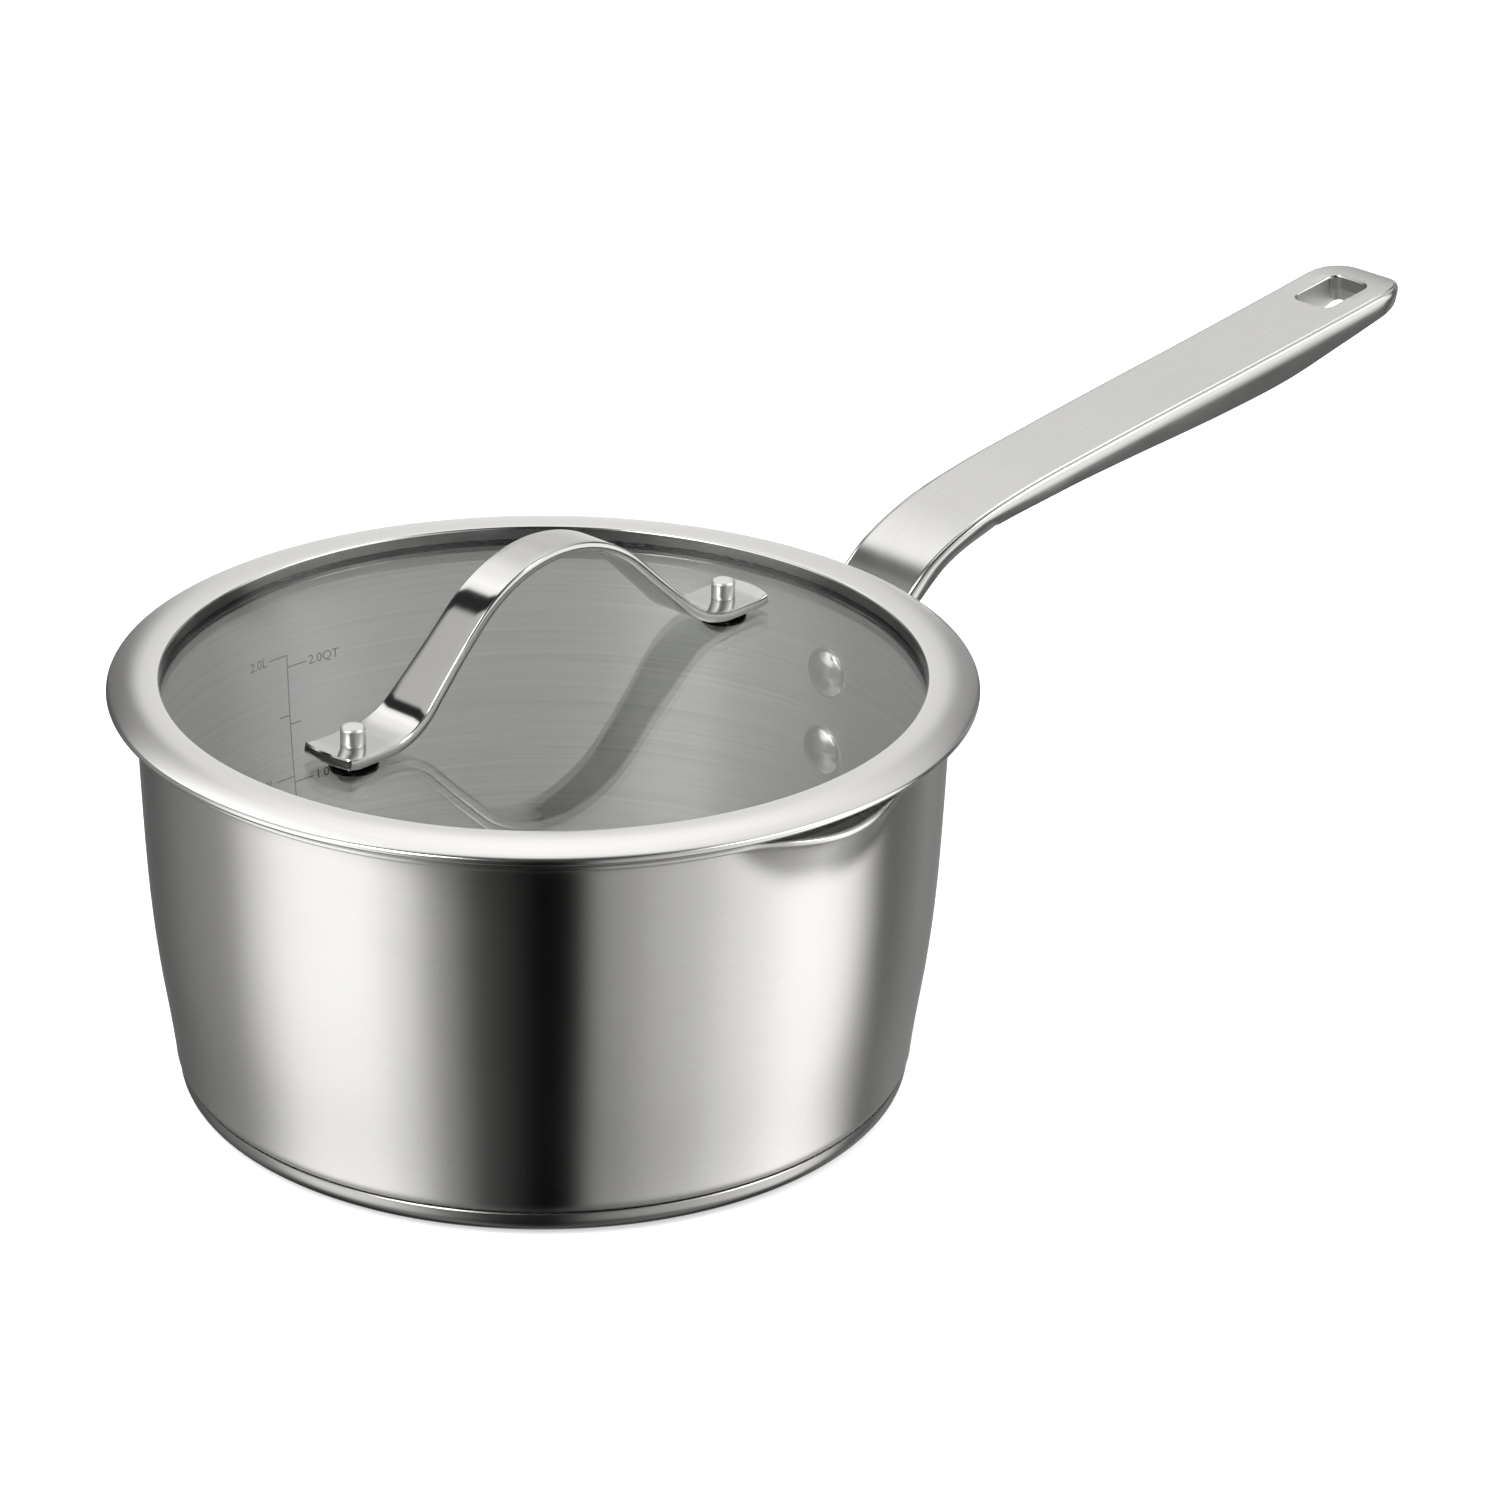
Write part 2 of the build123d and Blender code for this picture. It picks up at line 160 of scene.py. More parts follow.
def smoothed(piece, angle=32):
    """Shades the piece smooth, with a sharp line where faces meet at more than the angle."""
    clear_selection()
    piece.select_set(True)
    bpy.context.view_layer.objects.active = piece
    bpy.ops.object.shade_smooth_by_angle(angle=radians(angle))
    return piece


def moved(piece, matrix):
    """Moves the piece's mesh, so that its object stays at the origin."""
    piece.data.transform(matrix)
    piece.data.update()
    return piece


def copied(piece, name, matrix):
    twin = piece.copy()
    twin.data = piece.data.copy()
    twin.name = twin.data.name = name
    bpy.context.collection.objects.link(twin)
    return moved(twin, matrix)


def finished(piece, material, body, slot, *nodes):
    """Hands a piece to its body, with its finish and the nodes that it stands for."""
    piece.data.materials.clear()
    piece.data.materials.append(material)
    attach(piece, body)
    if nodes:
        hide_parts(*nodes)


def second_material(piece, material, belongs):
    """Gives a second material to the faces that belong to it, by their middle and facing. It
    carries other finishes and painted shade alike.
    """
    piece.data.materials.append(material)
    for face in piece.data.polygons:
        face.material_index = int(belongs(face.center / MM, face.normal))


# ================================================================ vessel

def wall_radius(z):
    """Outside radius of the wall, a smooth curve through its four points."""
    for (z0, r0, m0), (z1, r1, m1) in zip(WALL_POINTS, WALL_POINTS[1:]):
        if z <= z1 or z1 == WALL_TOP_Z:
            h = z1 - z0
            t = (z - z0) / h
            return (r0 * (1 + 2 * t) * (1 - t) ** 2 + r1 * t * t * (3 - 2 * t)
                    + h * m0 * t * (1 - t) ** 2 - h * m1 * t * t * (1 - t))


def vessel_outline():
    """Underside, wall, flare, rolled edge, and back down the inside to the middle."""
    spans = 40
    heights = [CORNER_Z + (WALL_TOP_Z - CORNER_Z) * i / spans for i in range(spans + 1)]
    outside = [(r, CORNER_Z - CORNER_R) for r in FLOOR_RADII]
    outside += arc(CORNER_X, CORNER_Z, CORNER_R, -90, 0, 8)[:-1]
    outside += [(wall_radius(z), z) for z in heights[:-1]]
    outside += arc(WALL_TOP_R + FLARE_R, WALL_TOP_Z, FLARE_R, 180, 90, 6)
    edge = arc(RIM_R - RIM_T / 2, RIM_Z - RIM_T / 2, RIM_T / 2, -90, 90, 8)
    inside = arc(INNER_FLARE_X, INNER_FLARE_Z, INNER_FLARE_R, 90, 180, 6)
    inside += [(wall_radius(z) - WALL, z) for z in heights[::-1]]
    inside += arc(CORNER_X, CORNER_Z, CORNER_R - WALL, 0, -90, 8)[1:]
    inside += [(r, CORNER_Z - CORNER_R + WALL) for r in FLOOR_RADII[::-1]]
    return outside + edge + inside


def spout_radius(across, height, grow):
    """How far from the axis the leaning spout's surface is, in a direction that is off the
    spout's own by the angle across."""
    a, b = SPOUT_R + grow, (SPOUT_R + grow) / cos(SPOUT_LEAN)
    middle = SPOUT_REACH - SPOUT_R / cos(SPOUT_LEAN) - (RIM_Z - height) * tan(SPOUT_LEAN)
    s, c = sin(across), cos(across)
    k = s * s / a**2 + c * c / b**2
    half = -c * middle / b**2
    rest = middle**2 / b**2 - 1
    root = half * half - k * rest
    return (-half + sqrt(root)) / k if root > 0 else 0


def soft_larger(base, other, soft):
    """The larger of two values, rounded where they meet."""
    gap = other - base
    blend = max(soft - abs(gap), 0) / soft
    return base + max(gap, 0) + blend * blend * soft / 4


def spouted(point):
    """Pushes a point of the round vessel out to the nearer spout, and drops the lip."""
    x, y, z = point
    r = hypot(x, y)
    if z < SPOUT_LOW_Z or r < SPOUT_MIN_R or abs(y) < SPOUT_MIN_Y:
        return point
    across = atan2(x, abs(y))
    body = wall_radius(min(z, WALL_TOP_Z))
    if r <= body + 0.01:
        inset = body - r
        new = soft_larger(r, spout_radius(across, z, -inset), SPOUT_SOFT)
    else:
        t = min((r - body) / (RIM_R - body), 1)
        low = soft_larger(body, spout_radius(across, z, 0), SPOUT_SOFT)
        lip = soft_larger(RIM_R, spout_radius(across, RIM_Z, SPOUT_LIP), LIP_SOFT)
        new = low + t * (lip - low)
    drop = 0
    if abs(x) < SPOUT_HALF:
        fade = min(max((z - DIP_LOW_Z) / DIP_FADE, 0), 1)
        drop = SPOUT_DIP * cos(pi * x / SPOUT_HALF / 2) ** 2 * fade
    return (x * new / r, y * new / r, z - drop)


def make_vessel(steel, inside_finish_and_shade):
    piece = turned("pan_body_skin", vessel_outline(), 480, "filled", spouted)
    finished(smoothed(piece, 50), steel, "pan", "vessel_steel", "pan_body")

    def is_inside(middle, facing):
        x, y, z = middle
        inwards = facing.x * x + facing.y * y < 0 or facing.z > 0.5
        return CORNER_Z - CORNER_R + WALL / 2 < z < INSIDE_FINISH_AND_SHADE_TOP and inwards

    # the inside gets brushed steel on a darker base: the lines are grain, the darker tone is
    # painted shade of the interior
    second_material(piece, inside_finish_and_shade, is_inside)


def make_base_cap(steel):
    flat = (1, 40, 75)
    outline = [(r, 0) for r in flat] + arc(BASE_X, BASE_R, BASE_R, -90, 0, 10) + BASE_LIP
    outline += arc(BASE_X, BASE_R, BASE_R - BASE_T, 0, -90, 8) + [(r, BASE_T) for r in flat[::-1]]
    piece = turned("base_cap_skin", outline, 384, "filled")
    finished(smoothed(piece), steel, "pan", "base_steel", "base_cap")


# ================================================================ rivets

RIVET_UPPER_Z, RIVET_LOWER_Z = 75.5, 53.9
DOME_R, DOME_RISE, DOME_TOP = 6.0, 1.9, 2.8
# a rivet below its dome: edge and ring of wall metal round it, shank, closed head
RIVET_REST = [(6.13, 0.72), (6.2, 0.35), (6.75, 0.42), (6.95, 0.3), (7.0, 0.0), (6.2, -0.4),
              (3.0, -0.4), (3.0, -4.8), (4.6, -4.8), (4.6, -5.4), (4.3, -5.8), (3.4, -6.05),
              (2.0, -6.15), (0.4, -6.2)]


def make_rivets(steel):
    """Solid rivets: a dome inside the vessel, a low closed head on the handle's pad."""
    ball = (DOME_R**2 + DOME_RISE**2) / (2 * DOME_RISE)
    reach = degrees(atan2(DOME_R, ball - DOME_RISE))
    spans = 14
    dome = [(ball * sin(radians(a)), DOME_TOP - ball * (1 - cos(radians(a))))
            for a in [reach * i / spans for i in range(1, spans + 1)]]
    rivet = turned("handle_rivet_upper_skin", dome + RIVET_REST, 64, "filled")
    smoothed(rivet, 40)
    lower = copied(rivet, "handle_rivet_lower_skin", rivet_place(RIVET_LOWER_Z))
    moved(rivet, rivet_place(RIVET_UPPER_Z))
    finished(rivet, steel, "pan", "rivet_steel", "handle_rivet_upper")
    finished(lower, steel, "pan", "rivet_steel", "handle_rivet_lower")


def rivet_place(height):
    inside = (wall_radius(height) - WALL) * MM
    return Matrix.Translation((inside, 0, height * MM)) @ Matrix.Rotation(-pi / 2, 4, "Y")


# ================================================================ pan handle

# side view of the handle from the neck to the nose, and the spans of each piece of the curves
HANDLE_TOP = [(98.3, 87.4), (103, 90.2), (108, 93.4), (121, 105), (137, 112.6), (157, 117.7),
              (184, 122.2), (211, 126.3), (238, 130.2), (264, 134.1), (285, 137.3),
              (303, 139.9), (309.2, 139.7), (311.4, 138.7), (312, 137.5)]
HANDLE_UNDER = [(103.4, 79.5), (104.6, 82.6), (108, 87.2), (128, 102.6), (145, 108.6), (172, 113),
                (200, 115.6), (219, 117.0), (236, 118.5), (262, 121.9), (282, 127.3),
                (299, 132.3), (307.5, 134.8), (310.4, 135.7), (312, 137.3)]
HANDLE_SPANS = [3, 3, 6, 7, 8, 8, 8, 8, 8, 8, 6, 10, 8, 6]
HANDLE_HALF, END_HALF, WIDEN_X = 13.0, 14.4, 130.0
HANDLE_END, NOSE_R, NECK_X = 312, 13.6, 137
NECK_SHIFT, NECK_FADE = 8, 40            # the underside leads by this at the neck, then fades

# the pad lies against the wall; its outer face leans in towards the lower end
PAD_LOW, PAD_TOP, PAD_GAP = 44.5, 77, 0.02
PAD_FACE_X, PAD_FACE_Z, PAD_LEAN, PAD_LEAN_OVER = 103.4, 79.5, 2.3, 32.5
PAD_TO_NECK = [((99.2, 81), (103.4, 79.0), 1.0), ((99.0, 84.6), (103.45, 79.3), 1.3)]
PAD_ROLL, GRIP_ROLL, LOW_ROLL = 1.0, 1.5, 0.7
PAD_BEND, BEND_TO_X = 198, 99.41         # twice the wall's radius, and where bending stops

# channel under the grip, and the sides' lean inwards with depth
NOTCH_START, NOTCH_END, NOTCH_FADE = 141, 278.5, 3
TOP_SKIN, DRAFT, DRAFT_FROM, DRAFT_MOST = 5.5, 0.38, 4, 3.3
LIP_LAND, CHANNEL_ROLL = 0.6, 1.5

# hanging hole: its plan, then grow and height for each step of its wall
HOLE_X, HOLE_L, HOLE_W, HOLE_CORNER = 291.6, 18.6, 12.8, 3.0
HOLE_ROLL, HOLE_RISE = 0.75, 0.25
HOLE_ABOVE = [(2.2, 3.0), (0.9, 0.3)]
HOLE_BELOW = [(-0.3, -4), (-1.3, -8), (-1.5, -18)]
HOLE_WALL_TOP, HOLE_MARGIN = 136.9, 0.2


def curve_through(points, steps):
    """A smooth curve through points, as many points on each span as steps says."""
    out = []
    last = len(points) - 1
    for i in range(last):
        p0, p1, p2, p3 = (Vector(points[max(0, min(last, j))]) for j in range(i - 1, i + 3))
        d1, d2, d3 = (max((b - a).length, 1e-6) ** 0.5
                      for a, b in ((p0, p1), (p1, p2), (p2, p3)))
        m1 = m2 = (p2 - p1) / d2
        if i > 0:
            m1 = (p1 - p0) / d1 - (p2 - p0) / (d1 + d2) + (p2 - p1) / d2
        if i < last - 1:
            m2 = (p2 - p1) / d2 - (p3 - p1) / (d2 + d3) + (p3 - p2) / d3
        m1, m2 = m1 * d2, m2 * d2
        for k in range(steps[i]):
            t = k / steps[i]
            out.append(p1 * (1 + 2 * t) * (1 - t) ** 2 + p2 * t * t * (3 - 2 * t)
                       + m1 * t * (1 - t) ** 2 - m2 * t * t * (1 - t))
    return out + [Vector(points[-1])]


def height_on(curve, x):
    """The point of a curve at a given x."""
    for a, b in zip(curve, curve[1:]):
        if b.x >= x:
            return a.lerp(b, (x - a.x) / max(b.x - a.x, 1e-6))
    return curve[-1]


def bar_section(top, under, half, top_r, low_r, notch):
    """A closed section of a bar: flat top with rolled edges, sides, and an open channel below.
    Points are (x, y, z). The section's height runs from top to under, both (x, z). Notch says
    how much of the channel there is, from 0 to 1."""
    rise = top - under
    height = rise.length
    top_r, low_r = min(top_r, height * 0.42), min(low_r, height * 0.3)
    draft = min(max(height - DRAFT_FROM, 0) * DRAFT, DRAFT_MOST)
    deep = max(height - TOP_SKIN, 0) * notch
    flat, foot = half - top_r - 0.1, half - draft
    inner = foot - low_r - LIP_LAND
    # half a section as (across, down), from the middle of the top to the middle of the channel
    side = [(flat * k / 4, 0.0) for k in range(5)]
    side += [(flat + 0.2, 0.2), (flat + 0.42, 0.1)]
    side += [(half - top_r + top_r * sin(a), top_r * (1 - cos(a)))
             for a in map(radians, (26, 40, 54, 68, 82))]
    side += [(half, top_r + 0.25),
             (half - draft * 0.3, top_r + (height - top_r) * 0.35),
             (foot, height - low_r)]
    side += [(foot - low_r * (1 - cos(a)), height - low_r * (1 - sin(a)))
             for a in map(radians, (45, 90))]
    side += [(inner, height),
             (inner - 0.3, height - min(0.4, deep)),
             (inner - 0.3, height - deep + min(CHANNEL_ROLL, deep) * 0.8),
             (inner - CHANNEL_ROLL, height - deep),
             (0, height - deep)]
    ring = side + [(-y, d) for y, d in side[-2:0:-1]]
    return [(top.x - rise.x * d / height, y, top.y - rise.y * d / height) for y, d in ring]


def handle_rings():
    """The handle's height and edge roll at each section: (top, under, roll)."""
    rings = []
    spans = 8
    for i in range(spans + 1):
        z = PAD_LOW + (PAD_TOP - PAD_LOW) * i / spans
        face = PAD_FACE_X - PAD_LEAN * (PAD_FACE_Z - z) / PAD_LEAN_OVER
        rings.append((Vector((wall_radius(z) + PAD_GAP, z)), Vector((face, z)), PAD_ROLL))
    rings += [(Vector(top), Vector(under), roll) for top, under, roll in PAD_TO_NECK]
    tops = curve_through(HANDLE_TOP, HANDLE_SPANS)
    unders = curve_through(HANDLE_UNDER, HANDLE_SPANS)
    neck = next(i for i, top in enumerate(tops) if top.x > NECK_X)
    for i, (top, under) in enumerate(zip(tops, unders)):
        if i > neck:
            shift = NECK_SHIFT * max(1 - (top.x - NECK_X) / NECK_FADE, 0)
            under = height_on(unders, min(top.x + shift, HANDLE_END))
        rings.append((top, under, GRIP_ROLL))
    return rings


def handle_half_width(x):
    """Widens a little to the end, then rounds off to the nose."""
    half = (HANDLE_HALF
            + (END_HALF - HANDLE_HALF) * max(x - WIDEN_X, 0) / (HANDLE_END - WIDEN_X))
    if x > HANDLE_END - NOSE_R:
        half += sqrt(max(NOSE_R**2 - (x - HANDLE_END + NOSE_R) ** 2, 0.5)) - NOSE_R
    return half


def bent_to_wall(ring):
    return [(x - y * y / PAD_BEND, y, z) for x, y, z in ring]


def make_pan_handle(steel, hole_steel):
    """Pad on the wall, swan neck and grip pulled section by section, then the hole cut."""
    rings = handle_rings()
    sections = []
    for top, under, roll in rings:
        half = handle_half_width(max(top.x, under.x))
        notch = (min(max((under.x - NOTCH_START) / NOTCH_FADE, 0), 1)
                 * min(max((NOTCH_END - under.x) / NOTCH_FADE, 0), 1))
        ring = bar_section(top, under, half, roll, LOW_ROLL, notch)
        sections.append(bent_to_wall(ring) if top.x < BEND_TO_X else ring)
    # the pad's lower end is a slightly smaller section, which rounds its edge
    top, under, _ = rings[0]
    low = bar_section(top + Vector((0.3, 0)), under - Vector((0.4, 0)),
                      HANDLE_HALF - 0.4, 0.8, 0.6, 0)
    sections[0] = [(x, y, PAD_LOW + 0.5) for x, y, z in sections[0]]
    sections.insert(0, [(x, y, PAD_LOW) for x, y, z in bent_to_wall(low)])
    piece = pulled("pan_handle_skin", sections, "filled")
    cut_hole(piece)
    finished(smoothed(piece, 26), steel, "pan", "handle_steel", "pan_handle")

    def in_hole(middle, facing):
        x, y, z = middle
        return (abs(x - HOLE_X) < HOLE_L / 2 + HOLE_MARGIN and abs(y) < HOLE_W / 2 + HOLE_MARGIN
                and z < HOLE_WALL_TOP and abs(facing.z) < 0.5)

    second_material(piece, hole_steel, in_hole)


def rounded_plan(length, width, corner, steps=6):
    """A rectangle with round corners, seen from above."""
    points = []
    for cx, cy, start in ((1, 1, 0), (-1, 1, 90), (-1, -1, 180), (1, -1, 270)):
        x, y = cx * (length / 2 - corner), cy * (width / 2 - corner)
        points += arc(x, y, corner, start, start + 90, steps)
    return points


def cut_hole(piece):
    """Cuts the hanging hole square to the grip's top, its upper edge rolled over."""
    (x0, z0), (x1, z1) = HANDLE_TOP[9], HANDLE_TOP[11]
    slope = atan2(z1 - z0, x1 - x0)
    top_z = z0 + (HOLE_X - x0) * tan(slope) + HOLE_RISE
    rolled = [(HOLE_ROLL * (1 - sin(a)), -HOLE_ROLL * (1 - cos(a)))
              for a in map(radians, (10, 30, 50, 70, 90))]
    rings = []
    for grow, z in HOLE_ABOVE + rolled + HOLE_BELOW:
        plan = rounded_plan(HOLE_L + 2 * grow, HOLE_W + 2 * grow, HOLE_CORNER + grow)
        rings.append([(x, y, z) for x, y in plan])
    cutter = pulled("hole_cutter", rings, "filled")
    place = Matrix.Translation((HOLE_X * MM, 0, top_z * MM)) @ Matrix.Rotation(-slope, 4, "Y")
    moved(cutter, place)
    clear_selection()
    piece.select_set(True)
    bpy.context.view_layer.objects.active = piece
    cut = piece.modifiers.new("hole", "BOOLEAN")
    cut.operation, cut.solver, cut.object = "DIFFERENCE", "EXACT", cutter
    bpy.ops.object.modifier_apply(modifier="hole")
    bpy.data.objects.remove(cutter)


# ================================================================ lid

def make_rim_band(steel, painted_shade):
    """Crowned ring: up over the glass's edge, across the crown, round the curl and back."""
    outline = [(BAND_IN, BAND_LOW), (BAND_IN, 105.4)]
    outline += arc(BAND_CORNER_X, BAND_CORNER_Z, BAND_CORNER_R, 180, 93, 8)
    outline += arc(CROWN_X, CROWN_Z, CROWN_R, CROWN_START, CROWN_END, 18)
    outline += arc(CURL_X, CURL_Z, CURL_R, 66, -90, 12) + BAND_TUCK
    outline += arc(CURL_X, CURL_Z, CURL_HOLLOW_R, -90, 71, 6)
    outline += arc(CROWN_X, CROWN_Z, CROWN_R - BAND_T, CROWN_END, CROWN_START, 8)
    outline += [(94.3, 106.2), (94.25, BAND_LOW)]
    piece = turned("lid_rim_band_skin", outline, 480)
    finished(smoothed(piece, 50), steel, "lid", "lid_steel", "lid_rim_band")
    # painted shade: the ring's inner wall over the glass gets a much darker steel
    second_material(piece, painted_shade, lambda middle, facing:
                  hypot(middle.x, middle.y) < RING_WALL_OUT and middle.z < RING_WALL_TOP)


def strap_path():
    """The strap's top line from its crest to one tip: (along, height, slope)."""
    path = [(CREST_R * sin(a), CREST_Z - CREST_R * (1 - cos(a)), -a)
            for a in (STRAP_FLANK * i / 16 for i in range(17))]
    u, z, _ = path[-1]
    foot_top = STRAP_LOW + STRAP_T
    drop = z - foot_top - STRAP_FOOT_R * (1 - cos(STRAP_FLANK))
    path += [(u + drop * k / 6 / tan(STRAP_FLANK), z - drop * k / 6, -STRAP_FLANK)
             for k in range(1, 7)]
    u, z, _ = path[-1]
    centre_u, centre_z = u + STRAP_FOOT_R * sin(STRAP_FLANK), foot_top + STRAP_FOOT_R
    path += [(centre_u - STRAP_FOOT_R * sin(a), centre_z - STRAP_FOOT_R * cos(a), -a)
             for a in (STRAP_FLANK * (1 - k / 12) for k in range(1, 13))]
    path += [(centre_u + (FLAT_END_U - centre_u) * k / 3, foot_top, 0) for k in range(1, 4)]
    path += [(FLAT_END_U + TIP_R * sin(a), foot_top + TIP_R * (1 - cos(a)), a)
             for a in (TIP_RISE * k / 4 for k in range(1, 5))]
    u, z, a = path[-1]
    return path + [(u + (TIP_U - u) * k / 3, z + (TIP_U - u) * k / 3 * tan(a), a)
                   for k in range(1, 4)]


def strap_half_width(u):
    """Broad feet, a narrower arch."""
    t = min(max((u - WIDEN_U) / WIDEN_OVER, 0), 1)
    return ARCH_HALF + FOOT_EXTRA * t * t * (3 - 2 * t)


def strap_section(u, z, slope, trim=0.0):
    """The strap's section: flat faces, rolled edges, and bowed at its ends. Trim makes it
    smaller all round."""
    half, thick = strap_half_width(u) - trim, STRAP_T - 2 * trim
    roll, low = STRAP_ROLL, STRAP_LOW_ROLL
    side = [((half - roll) * k / 3, 0.0) for k in range(4)]
    side += [(half - roll + roll * sin(a), roll * (1 - cos(a)))
             for a in map(radians, (12, 35, 60, 90))]
    side += [(half, thick / 2)]
    side += [(half - low * (1 - cos(a)), thick - low * (1 - sin(a)))
             for a in map(radians, (0, 45, 90))]
    side += [(half / 2, thick), (0, thick)]
    ring = side + [(-y, d) for y, d in side[-2:0:-1]]
    bow = TIP_BOW * min(max((u - BOW_U) / BOW_OVER, 0), 1)
    along, up = Vector((cos(slope), sin(slope))), Vector((-sin(slope), cos(slope)))
    out = []
    for y, d in ring:
        p = Vector((u, z)) - up * (d + trim) - along * (bow * (y / half) ** 2)
        out.append((p.x, y, p.y))
    return out


def make_strap(steel):
    """Arched strap: one half's sections, and the same mirrored."""
    half = strap_path()
    u, z, a = half[-1]
    tip = strap_section(u + END_TRIM * cos(a), z + END_TRIM * sin(a), a, END_TRIM)
    right = [strap_section(*p) for p in half] + [tip]
    left = [[(-x, y, z) for x, y, z in ring] for ring in right]
    piece = pulled("lid_strap_handle_skin", left[::-1] + right[1:], "filled")
    moved(piece, Matrix.Rotation(STRAP_TURN, 4, "Z"))
    finished(smoothed(piece, 24), steel, "lid", "strap_steel", "lid_strap_handle")


def make_foot_fittings(post_steel, black):
    """Screw post and washer at each foot of the strap."""
    low = STRAP_LOW + STRAP_T
    head = [(0.3, POST_TOP), (1.6, POST_TOP - 0.03)]
    head += arc(POST_R - POST_ROLL, POST_TOP - POST_ROLL, POST_ROLL, 84, 0, 8)
    head += [(POST_R, low + 1), (POST_R, low + 0.25), (POST_R - 0.12, low)]
    head += [(STEM_R, low), (STEM_R, STEM_LOW), (0.3, STEM_LOW)]
    top = GLASS_TOP + GASKET_T
    washer = [(GASKET_IN, top), (GASKET_OUT, top)]
    washer += arc(GASKET_OUT, GLASS_TOP + 0.5, 0.4, 90, -90, 8) + [(GASKET_IN, GLASS_TOP)]
    washer = [(r, min(max(z, GLASS_TOP), top)) for r, z in washer]
    post = smoothed(turned("strap_post_handle_side_skin", head, 64, "filled"), 40)
    ring = smoothed(turned("strap_gasket_handle_side_skin", washer, 64), 60)
    turn = Matrix.Rotation(STRAP_TURN, 4, "Z")
    near, far = (turn @ Matrix.Translation((side * FOOT_U * MM, 0, 0)) for side in (1, -1))
    for piece, finish, slot, name in ((post, post_steel, "strap_steel", "strap_post"),
                                      (ring, black, "gasket_silicone", "strap_gasket")):
        twin = copied(piece, f"{name}_open_side_skin", far)
        moved(piece, near)
        finished(piece, finish, "lid", slot, f"{name}_handle_side")
        finished(twin, finish, "lid", slot, f"{name}_open_side")


# ================================================================ volume marks

MARK_DEPTH, MARK_LINE, MARK_LOW, TEXT_SIZE = 0.06, 0.32, 12.0, 3.6
LONG_TICK, SHORT_TICK, TEXT_AWAY = 6.2, 3.5, 6.9
LITRES = {2.0: 77.5, 1.5: 60.9, 1.0: 43.9, 0.5: 26.4}
QUARTS = {2.0: 74.2, 1.5: 58.3, 1.0: 42.3, 0.5: 25.7}
MARK_TURN = radians(91.3)


def on_wall(across, height, depth):
    """Point on the inside wall; across is the way along the wall from the scale's line."""
    r = wall_radius(height) - WALL - depth
    a = MARK_TURN - across / r
    return Vector((r * cos(a), r * sin(a), height)) * MM


def wrapped(piece):
    """Lays a piece drawn flat, in millimetres as (across, height, depth), on the wall."""
    for v in piece.data.vertices:
        v.co = on_wall(*v.co)
    return piece


def mark_line(across, height, wide, tall, cuts):
    """A thin bar drawn flat, cut across so that it can follow the wall."""
    clear_selection()
    bpy.ops.mesh.primitive_plane_add(size=1)
    piece = bpy.context.object
    bpy.ops.object.mode_set(mode="EDIT")
    bpy.ops.mesh.select_all(action="SELECT")
    bpy.ops.transform.resize(value=(wide, tall, 1))
    bpy.ops.transform.translate(value=(across, height, 0.0))
    bpy.ops.mesh.subdivide(number_cuts=cuts)
    bpy.ops.mesh.extrude_region_move(TRANSFORM_OT_translate={"value": (0, 0, MARK_DEPTH)})
    bpy.ops.object.mode_set(mode="OBJECT")
    return piece


def mark_text(words, across, height, align):
    clear_selection()
    bpy.ops.object.text_add()
    text = bpy.context.object
    text.data.body, text.data.size, text.data.align_x = words, TEXT_SIZE, align
    text.data.align_y = "CENTER"
    text.data.extrude = MARK_DEPTH / 2
    text.data.resolution_u = 3
    bpy.ops.object.convert(target="MESH")
    piece = bpy.context.object
    piece.data.transform(Matrix.Translation((across, height, MARK_DEPTH / 2)))
    return piece


def make_volume_marks(ink):
    """The scale: an upright line, litres on its one side and quarts on the other."""
    low, high = MARK_LOW, LITRES[2.0]
    parts = [mark_line(0, (low + high) / 2, MARK_LINE, high - low, 14)]
    for marks, way, unit in ((LITRES, -1, "L"), (QUARTS, 1, "QT")):
        for value, height in marks.items():
            whole = value == int(value)
            reach = LONG_TICK if whole else SHORT_TICK
            parts.append(mark_line(way * reach / 2, height, reach, MARK_LINE, 3))
            if whole:
                align = "LEFT" if way > 0 else "RIGHT"
                parts.append(mark_text(f"{value:.1f}{unit}", way * TEXT_AWAY, height, align))
    for part in parts:
        wrapped(part)
    clear_selection()
    for part in parts:
        part.select_set(True)
    bpy.context.view_layer.objects.active = parts[0]
    bpy.ops.object.join()
    piece = bpy.context.object
    piece.name = piece.data.name = "volume_marks"
    bpy.ops.object.mode_set(mode="EDIT")
    bpy.ops.mesh.select_all(action="SELECT")
    bpy.ops.mesh.remove_doubles(threshold=1e-6)
    bpy.ops.mesh.normals_make_consistent(inside=False)
    bpy.ops.object.mode_set(mode="OBJECT")
    finished(piece, ink, "pan", "vessel_steel")


# ================================================================ finishes

def node(tree, kind, **values):
    """A shader node, with its settings and the values of its inputs by name."""
    made = tree.nodes.new(kind)
    for key, value in values.items():
        if hasattr(made, key):
            setattr(made, key, value)
        else:
            made.inputs[key.replace("_", " ")].default_value = value
    return made


def new_group(name, inputs, outputs):
    group = bpy.data.node_groups.new(name, "ShaderNodeTree")
    for title, value in inputs:
        socket = group.interface.new_socket(title, in_out="INPUT", socket_type="NodeSocketFloat")
        socket.default_value = value
    for title in outputs:
        group.interface.new_socket(title, in_out="OUTPUT", socket_type="NodeSocketFloat")
    return group, group.nodes.new("NodeGroupInput"), group.nodes.new("NodeGroupOutput")


